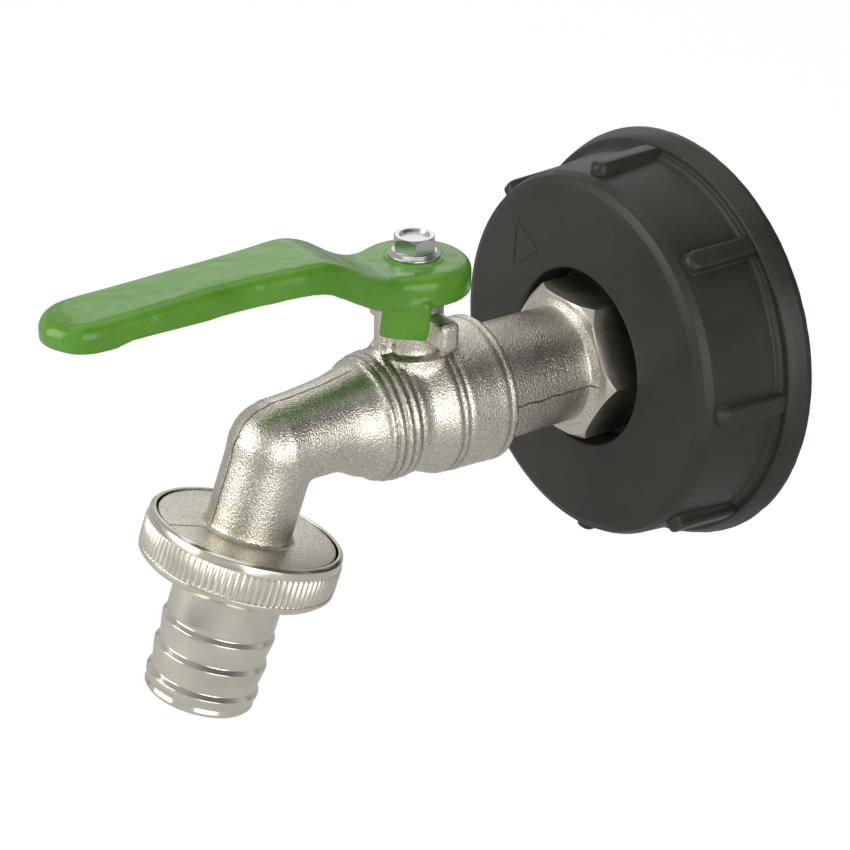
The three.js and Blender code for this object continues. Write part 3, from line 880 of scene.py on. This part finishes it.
def casting(x, y, z):
    """The cast body in millimetres."""
    main_r = length(x, z)
    chamber = (main_r - curve_of(y, CHAMBER, smooth=False)).within(slab(y, -78.6, -46.4), 0.5)
    lift = curve_of(y, [(-90, 0.15), (-82, 0.6), (-76, 1.0)])
    run_r = curve_of(y, [(-90, 7.95), (-82, 8.3), (-76, 8.8)])
    run = (length(x, z - lift) - run_r).within(slab(y, -90.3, -74))
    out_r, along = outlet_coordinates(x, y, z)
    elbow = length(x, y - elbow_y, z) - (SPOUT_R + 0.1)
    drop = (out_r - SPOUT_R).within(slab(along, 0, 17.2))
    foot = (out_r - 12.0).within(slab(along, 16.45, 18.5))
    stem_r = length(x, y - stem_y)
    neck = (stem_r - NECK_R).within(slab(z, 6, NECK_TOP), 0.5)
    collar = (stem_r - 7.4).within(slab(z, 6, 12.2))
    fin = block(x, y - (stem_y - 3.8), z - 15, 3.0, 7.6, 13.8, 0.7)
    stop_open = block(x - 6.4, y - (stem_y + 0.9), z - 17.4, 8.8, 4.1, 5.2, 1.0)
    stop_shut = block(x + 6, y - (stem_y - 1.8), z - 17.5, 8.0, 2.1, 4.8, 0.7)
    outer = chamber.join(run, 1.6).join(elbow, 1.0).join(drop, 1.0).join(foot, 1.8)
    outer = outer.join(collar, 2.2).join(neck, 1.8)
    outer = outer.join(fin, 1.0).join(stop_open, 0.7).join(stop_shut, 0.7)
    chamber_bore = (main_r - CHAMBER_BORE).within(slab(y, -68.9, -46))
    mouth = (main_r - MOUTH_BORE).within(slab(y, -53.4, -40))
    way = (main_r - SPOUT_BORE).within(slab(y, -90, -60))
    way = way.join(length(x, y - elbow_y, z) - SPOUT_BORE)
    way = way.join((out_r - SPOUT_BORE).within(slab(along, 0, 30)))
    stem_hole = (stem_r - STEM_BORE).within(slab(z, 4, 30)).join(
        (stem_r - COLLAR_BORE).within(slab(z, 4, 10.9)))
    return outer.cut(chamber_bore).cut(mouth).cut(way).cut(stem_hole)


cast_mesh = field_mesh("casting", casting, (-14.8, -108.6, -22.6), (14.8, -45.4, 23.2),
                       satin_nickel, cell=0.42)
boss_mesh = turned("boss", [
    (SPOUT_BORE, 16.6), (10.5, BOSS_TOP + 0.02), (BOSS_R, BOSS_TOP, 0.35),
    (BOSS_R, BOSS_TOP + 1.1, 0.1), (BOSS_R - 0.35, BOSS_TOP + 1.5), (BOSS_R - 0.35, BOSS_END, 0.3),
    (SPOUT_BORE, BOSS_END)], sides=144, place=ON_OUTLET)
make_piece("cast_body", [(cast_mesh, satin_nickel), (boss_mesh, satin_nickel)],
           "tap", ["valve_body", "spout"])

# %% [markdown]
# ## The lever
# The lever is pressed from strip: a round hub, an S-bend and an arm with turned-down sides,
# open below. Then it is dipped in vinyl, which rounds every edge and runs a little. A distance
# field gives both at once: the pressed channel, and soft edges all over it.

# %% The lever's field
LEVER_TOP = [(-131.5, 33.0), (-127, 33.45), (-123, 33.75), (-116, 34.1), (-107, 34.65),
             (-98, 35.05), (-90, 35.3), (-86, 35.4), (-84, 35.3), (-82, 34.85), (-80, 34.1),
             (-77, 32.4), (-74.5, 30.9), (-72, 29.85), (-70, 29.4), (-68, 29.3), (-49, 29.3)]
LEVER_SKIRT = [(-131.5, 29.2), (-127, 28.9), (-123, 28.85), (-119, 29.5), (-108, 29.7),
               (-98, 30.1), (-87, 30.3), (-85, 30.1), (-81, 28.5), (-77, 26.3), (-73, 24.4),
               (-70.5, 23.7), (-49, 23.6)]
LEVER_HALF = [(-124.6, 6.85), (-116, 6.8), (-108, 6.7), (-100, 6.75), (-92, 7.3), (-84.5, 8.0),
              (-60, 8.1)]
HUB_R, WALL, PLATE, TIP_Y = 10.25, 1.9, 2.4, -124.6


def rounded_within(first, second, radius):
    """Keeps what is inside both fields, with an outer edge of that radius."""
    a, b = first + radius, second + radius
    corner = length(a.math("MAXIMUM", 0.0), b.math("MAXIMUM", 0.0))
    return corner + a.math("MAXIMUM", b).math("MINIMUM", 0.0) - radius


def pressed_lever(x, y, z):
    """The coated lever in millimetres."""
    hub = length(x, y - stem_y) - HUB_R
    past_tip = (y - TIP_Y).math("MINIMUM", 0.0)
    arm = (length(x, past_tip) - curve_of(y, LEVER_HALF)).within(y - stem_y)
    plan = hub.join(arm, 2.4)
    top = curve_of(y, LEVER_TOP)
    skirt = curve_of(y, LEVER_SKIRT)
    outer = rounded_within(plan, (z - top) * 0.93, 2.1)
    hollow = rounded_within(plan + WALL, z - top + PLATE, 1.0)
    shell = outer.cut(hollow, 0.5).within((skirt - z) * 0.95, 0.7)
    turn = radians(48)
    from_x, from_y = x - 7.1, y - (stem_y - 6.2)
    flare = (z - 22.0).math("MINIMUM", 0.0) * 0.16
    curl = (from_x * cos(turn) + from_y * sin(turn) + 1.6).math("MINIMUM", 0.0)
    u = (from_x * cos(turn) + from_y * sin(turn) - flare * 0.7) * 0.97
    v = from_y * cos(turn) - from_x * sin(turn) - curl * curl * 0.07
    tab = block(u + 0.1, v, z - 21.3, 8.4, 2.2, 7.4, 0.8)
    pad = (length(x, y - stem_y) - 5.3).within(slab(z, 27, 29.69), 0.3)
    hole = (length(x, y - stem_y) - 3.25).within((y - stem_y).abs() - 2.45)
    return shell.join(tab, 1.0).join(pad, 0.8).cut(hole)


lever_mesh = field_mesh("lever", pressed_lever, (-11.4, -132.4, 16.8), (13.0, -49.6, 36.4),
                        green_coat, cell=0.4)
make_piece("coated_lever", [(lever_mesh, green_coat)], "handle", ["lever"])

# %% [markdown]
# ## The cap
# The cap is moulded polypropylene: a face with a pocket for the hexagon, a wall with a coarse
# thread inside, a flange and eight grip ribs with round crests. The wall and face
# are turned with small fillets. One rib is built and Geometry Nodes set eight of them
# round the wall, and another tree climbs a spiral to make the thread.

# %% Cap body
cap_mesh = turned("cap_body", [
    (30.4, -0.02), (30.1, -1.2, 0.4), (30.1, -16.4, 0.5), (19.4, -16.4, 0.5), (19.4, -6, 0.4),
    (13.4, -6, 0.3), (13.4, -13.5), (17.6, -13.5, 0.3), (17.6, -21.9, 0.9), (33.9, -21.9, 0.5),
    (35.5, -21.3, 0.9), (36.35, -19.7, 0.9), (37.75, -5.6, 0.6), (38.35, -5.15, 0.3),
    (38.5, -4.5, 0.3), (39.9, -4.5, 0.5), (40.6, -3.1, 0.9), (41.35, -1.1, 0.6),
    (41.48, -0.02, 0.2)], sides=176)
CHIP_FROM, CHIP_DEPTH = 40.9 * MM, 0.22 * MM
for vertex in cap_mesh.vertices:
    spread = hypot(vertex.co.x, vertex.co.z)
    if spread > CHIP_FROM:
        chip = max(noise.noise(vertex.co * 900) * 0.6 + noise.noise(vertex.co * 260) * 0.5, 0)
        vertex.co.x *= 1 - chip * CHIP_DEPTH / spread
        vertex.co.z *= 1 - chip * CHIP_DEPTH / spread
print("cap body:", len(cap_mesh.polygons), "faces, its flange's rim worn by up to",
      round(CHIP_DEPTH / MM, 2), "mm")

# %% Triangle mark
FACE_Y = -21.9


def stroke(work, start, end, width=0.42, proud=0.14):
    """A thin raised stroke on the cap's face between two (x, z) points in millimetres."""
    side = (end - start).normalized().orthogonal() * width / 2
    lofted(work, [
        [(p.x, y, p.y) for p in (start + side * share, end + side * share,
                                 end - side * share, start - side * share)]
        for y, share in ((FACE_Y + 0.3, 1.0), (FACE_Y - proud, 0.55))])


def triangle_mark(work):
    """Three strokes that make a plain triangle with open corners."""
    corners = [Vector((-20.6, 21.8)), Vector((-13.4, 17.6)), Vector((-20.9, 11.9))]
    for k in range(3):
        a, b = corners[k], corners[(k + 1) % 3]
        stroke(work, a.lerp(b, 0.06), a.lerp(b, 0.47))
        stroke(work, a.lerp(b, 0.53), a.lerp(b, 0.88))


mark_mesh = mesh_from("triangle_mark", triangle_mark)
print("triangle mark:", len(mark_mesh.polygons), "faces")

# %% Grip ribs and thread
RIB_START, RIB_END, NOSE, RIB_HALF = -3.6, -17.2, 2.1, 1.9


def rib_section(crest, wall, half):
    """One outline of a rib, as (radial, sideways) points with a round crest and flared foot."""
    foot = 0.4 * half / RIB_HALF
    low = [(wall - 1.2, -half - foot), (wall - 0.05, -half - foot), (wall + 0.12, -half - foot / 3),
           (wall + 0.3, -half)]
    shoulder = max(crest - 0.7, wall + 0.35)
    rise = crest - shoulder
    arc = [(shoulder + rise * sin(a), -half + rise * (1 - cos(a)))
           for a in (pi / 6 * k for k in range(4))]
    left = low + arc
    return left + [(r, -side) for r, side in reversed(left)]


def rib(work):
    """A grip rib along Y that grows out of the flange and ends in a rounded nose."""
    stations = [(RIB_START + (RIB_END - RIB_START) * k / 16, RIB_HALF, 0.0) for k in range(17)]
    for a in (pi / 2 * k / 9 for k in range(1, 10)):
        stations.append((RIB_END - NOSE * sin(a), max(RIB_HALF * cos(a), 0.1),
                         (1 - cos(a)) ** 1.5))
    outlines = []
    for y, half, drop in stations:
        wall = min(37.75 + (y + 5.6) * (37.75 - 36.35) / 14.1, 37.9)
        crest = min(39.55 + (y + 5) / 15.4 - drop * 1.7, 39.5)
        outlines.append([(side, y, r) for r, side in rib_section(crest, wall, half)])
    lofted(work, outlines)


rib_mesh = mesh_from("rib", rib)
FIRST_RIB = radians(90 - 2.9)
ribs_mesh = shaded(around(rib_mesh, 8, FIRST_RIB, black_plastic), 50)
thread_mesh = thread("cap_thread", -2.4, 2.0, 72, black_plastic, Radius=29.55, Length=12.0,
                     Depth=1.7, Root=3.6, Crest=2.0)
cap_parts = [(mesh, black_plastic) for mesh in (cap_mesh, ribs_mesh, mark_mesh, thread_mesh)]
make_piece("screw_cap", cap_parts, "tap", ["ibc_cap", "cap_hub"])

# %% [markdown]
# ## The inlet end
# A second casting screws into the body from behind. Its hexagon takes a 27 mm spanner and sits
# in the cap's pocket. A hexagon's chamfer is a cone that meets six flats, which draws the
# arcs seen on every nut, so the cone and the prism are really cut with each other.

# %% Hexagon and tube

def prism(name, radius, y0, y1, place=MAIN_AXIS, first_corner=pi / 2):
    """A six-sided bar along Y, in millimetres, with a corner at first_corner from +Z."""
    corners = [first_corner + pi / 3 * k for k in range(6)]
    ends = [[(radius * sin(a), y, radius * cos(a)) for a in corners] for y in (y0, y1)]
    return mesh_from(name, lambda work: lofted(work, ends), place)


def cut_with(mesh, other, operation, edge=0.12):
    """Combines two closed meshes and rounds the sharp edges of the result a little."""
    first, second = new_object("blank", mesh), new_object("tool", other)
    joiner = first.modifiers.new("cut", "BOOLEAN")
    joiner.operation, joiner.solver, joiner.object = operation, "EXACT", second
    if edge:
        soft = first.modifiers.new("edge", "BEVEL")
        soft.width, soft.segments, soft.limit_method = edge * MM, 2, "ANGLE"
        soft.angle_limit = radians(25)
    result = evaluated_mesh(first)
    for thing in (first, second):
        bpy.data.objects.remove(thing)
    return shaded(result, 24)


hex_blank = prism("hexagon", 15.7, -26.6, -15.1)
hex_cone = turned("hexagon_chamfer", [
    (0, -26.6), (13.3, -26.6), (14.4, -26.15), (15.75, -24.7), (15.75, -15.5), (15.2, -15.1),
    (0, -15.1)], sides=180)
hex_mesh = cut_with(hex_blank, hex_cone, "INTERSECT")
tube_mesh = turned("inlet_tube", [
    (7.0, -53.1), (12.2, -53.1, 0.3), (12.2, -46.9, 0.2), (11.27, -46.5, 0.3),
    (11.27, -27.4, 0.8), (13.2, -26.4), (13.2, -15.2), (13.1, -15.0), (13.1, -7, 0.2),
    (12.2, -6.0, 0.2), (7.0, -6.0, 0.3)], sides=128)
make_piece("inlet_end_piece", [(hex_mesh, hex_nickel), (tube_mesh, satin_nickel)],
           "tap", ["inlet_end"])

# %% [markdown]
# ## Union nut and hose tail
# The nut's rim has a fine straight knurl so that it can be turned by hand. One tooth is
# a small wedge with few faces, and the same tree that set the ribs sets all 96 teeth. The
# hose tail is turned: each barb rises steeply on the nut's side and tapers away from it, so
# the hose slides on but does not slide off.

# %% Union nut
NUT_TOP, NUT_END, NUT_R = 16.0, 25.2, 18.1
TEETH = 96
nut_mesh = turned("nut_body", [
    (16.7, NUT_TOP, 0.15), (17.2, NUT_TOP, 0.3), (17.75, NUT_TOP + 0.5, 0.3),
    (17.85, NUT_TOP + 1.9, 0.1), (17.7, NUT_TOP + 2.0), (17.7, 22.9), (18.0, 23.0, 0.15),
    (17.95, 23.7, 0.4), (16.9, 24.7, 0.5), (15.9, NUT_END, 0.5), (10.9, NUT_END, 0.35),
    (10.9, 23.5, 0.2), (16.7, 23.5)], sides=192, place=ON_OUTLET)


def tooth(work):
    """One knurl tooth: a wedge along the axis with a narrow flat crest."""
    wide = pi * 17.5 / TEETH
    outline = [(17.4, -wide), (17.68, -wide), (NUT_R - 0.1, -wide * 0.38), (NUT_R - 0.04, 0),
               (NUT_R - 0.1, wide * 0.38), (17.68, wide), (17.4, wide)]
    stations = ((NUT_TOP + 1.9, 0.25), (NUT_TOP + 2.3, 0), (22.6, 0), (23.0, 0.25))
    lofted(work, [[(side, y, r - lower * (r > 17.7)) for r, side in outline]
                  for y, lower in stations])


tooth_mesh = mesh_from("tooth", tooth)
teeth_mesh = around(tooth_mesh, TEETH, 0.0, knurl_nickel)
teeth_mesh.transform(Matrix.Translation(ON_OUTLET.translation * MM) @ ON_OUTLET.to_3x3().to_4x4())
shaded(teeth_mesh, 25)
make_piece("knurled_nut", [(nut_mesh, bright_nickel), (teeth_mesh, knurl_nickel)],
           "nut", ["union_nut"])

# %% Hose tail
FIRST_BARB, BARB_PITCH = 35.1, 5.4
tail_profile = [(7.8, 21.7, 0.1), (15.6, 21.7, 0.2), (15.6, 23.4, 0.2), (10.0, 23.4, 0.3),
                (10.0, 33.4, 0.6)]
for k in range(3):
    crest = FIRST_BARB + BARB_PITCH * k
    tail_profile += [(9.8, crest - 1.0, 0.35), (10.45, crest - 0.15, 0.3),
                     (10.42, crest + 0.5, 0.5)]
tail_profile += [(9.95, 47.6, 0.4), (10.2, 48.5, 0.4), (9.6, 49.22, 0.5), (8.2, 49.22, 0.35),
                 (7.8, 48.4, 0.4)]
tail_mesh = turned("tail", tail_profile, sides=144, place=ON_OUTLET)
make_piece("barbed_tail", [(tail_mesh, bright_nickel)], "tail", ["hose_tail"])

# %% [markdown]
# ## The lever's bolt
# A zinc-plated bolt with a hexagon head on a round flange clamps the lever on the stem. The
# forged head is dished, so its top shows a ring of light.

# %% Bolt
bolt_blank = prism("bolt_hexagon", 4.04, 30.3, 33.5, ON_STEM, first_corner=0)
bolt_cone = turned("bolt_chamfer", [
    (0, 30.2), (4.3, 30.2), (4.3, 32.7), (3.45, 33.5), (2.75, 33.5), (2.35, 32.95), (0, 32.8)],
    sides=96, place=ON_STEM)
bolt_head = cut_with(bolt_blank, bolt_cone, "INTERSECT", edge=0.1)
bolt_flange = turned("bolt_flange", [
    (0, 29.72), (4.75, 29.72, 0.15), (4.78, 30.15, 0.2), (4.0, 30.75, 0.5), (3.4, 30.95), (0, 31)],
    sides=96, place=ON_STEM)
bolt_shank = turned("bolt_shank", [(0, 19), (1.3, 19), (1.6, 19.4), (1.6, 29.8), (0, 29.8)],
                    sides=40, place=ON_STEM)
bolt_parts = [(mesh, zinc_steel) for mesh in (bolt_head, bolt_flange, bolt_shank)]
make_piece("flange_bolt", bolt_parts, "handle", ["lever_bolt"])

# %% [markdown]
# ## Pieces that keep the frame's shape
# The ball, the seats, the stem, the seals and the washers are simple turned pieces that hide
# inside the tap, and the frame already has their shape. They only need their finishes.

# %% Finishes for the frame's own pieces
KEPT = [
    (rubber, ["tank_gasket", "inlet_gasket", "joint_sealant", "stem_oring_lower",
              "stem_oring_upper", "hose_gasket"]),
    (stem_nickel, ["ball", "stem"]),
    (white_ptfe, ["seat_rear", "seat_front", "thrust_washer"]),
]
for finish, node_names in KEPT:
    for node_name in node_names:
        node_mesh = frame["nodes"][node_name].data
        node_mesh.materials.clear()
        node_mesh.materials.append(finish)
    print(finish.name, "on", ", ".join(node_names))

# %% Floor finish
floor_material, floor_tree, floor_shader, floor_at = start_finish("floor_paper", Roughness=0.9)
floor_clouds = place_group(floor_tree, CLOUDS, floor_at, Size=400.0)
paper_tone = mix_colour(floor_tree, floor_clouds["Cloud"], (0.62,) * 3, (0.65,) * 3)
floor_tree.links.new(paper_tone, floor_shader.inputs["Base Color"])
paper_glow = add_node(floor_tree, "ShaderNodeEmission", {
    "Color": (1, 1, 1, 1), "Strength": 1.1})
seen = add_node(floor_tree, "ShaderNodeLightPath").outputs["Is Camera Ray"]
paper_mix = add_node(floor_tree, "ShaderNodeMixShader", {
    0: math_node(floor_tree, "MULTIPLY", seen, 0.85), 1: floor_shader.outputs[0],
    2: paper_glow.outputs[0]})
floor_tree.links.new(paper_mix.outputs[0], floor_tree.nodes["Material Output"].inputs["Surface"])
floor_mesh.materials.append(floor_material)
print("floor finish:", floor_material.name)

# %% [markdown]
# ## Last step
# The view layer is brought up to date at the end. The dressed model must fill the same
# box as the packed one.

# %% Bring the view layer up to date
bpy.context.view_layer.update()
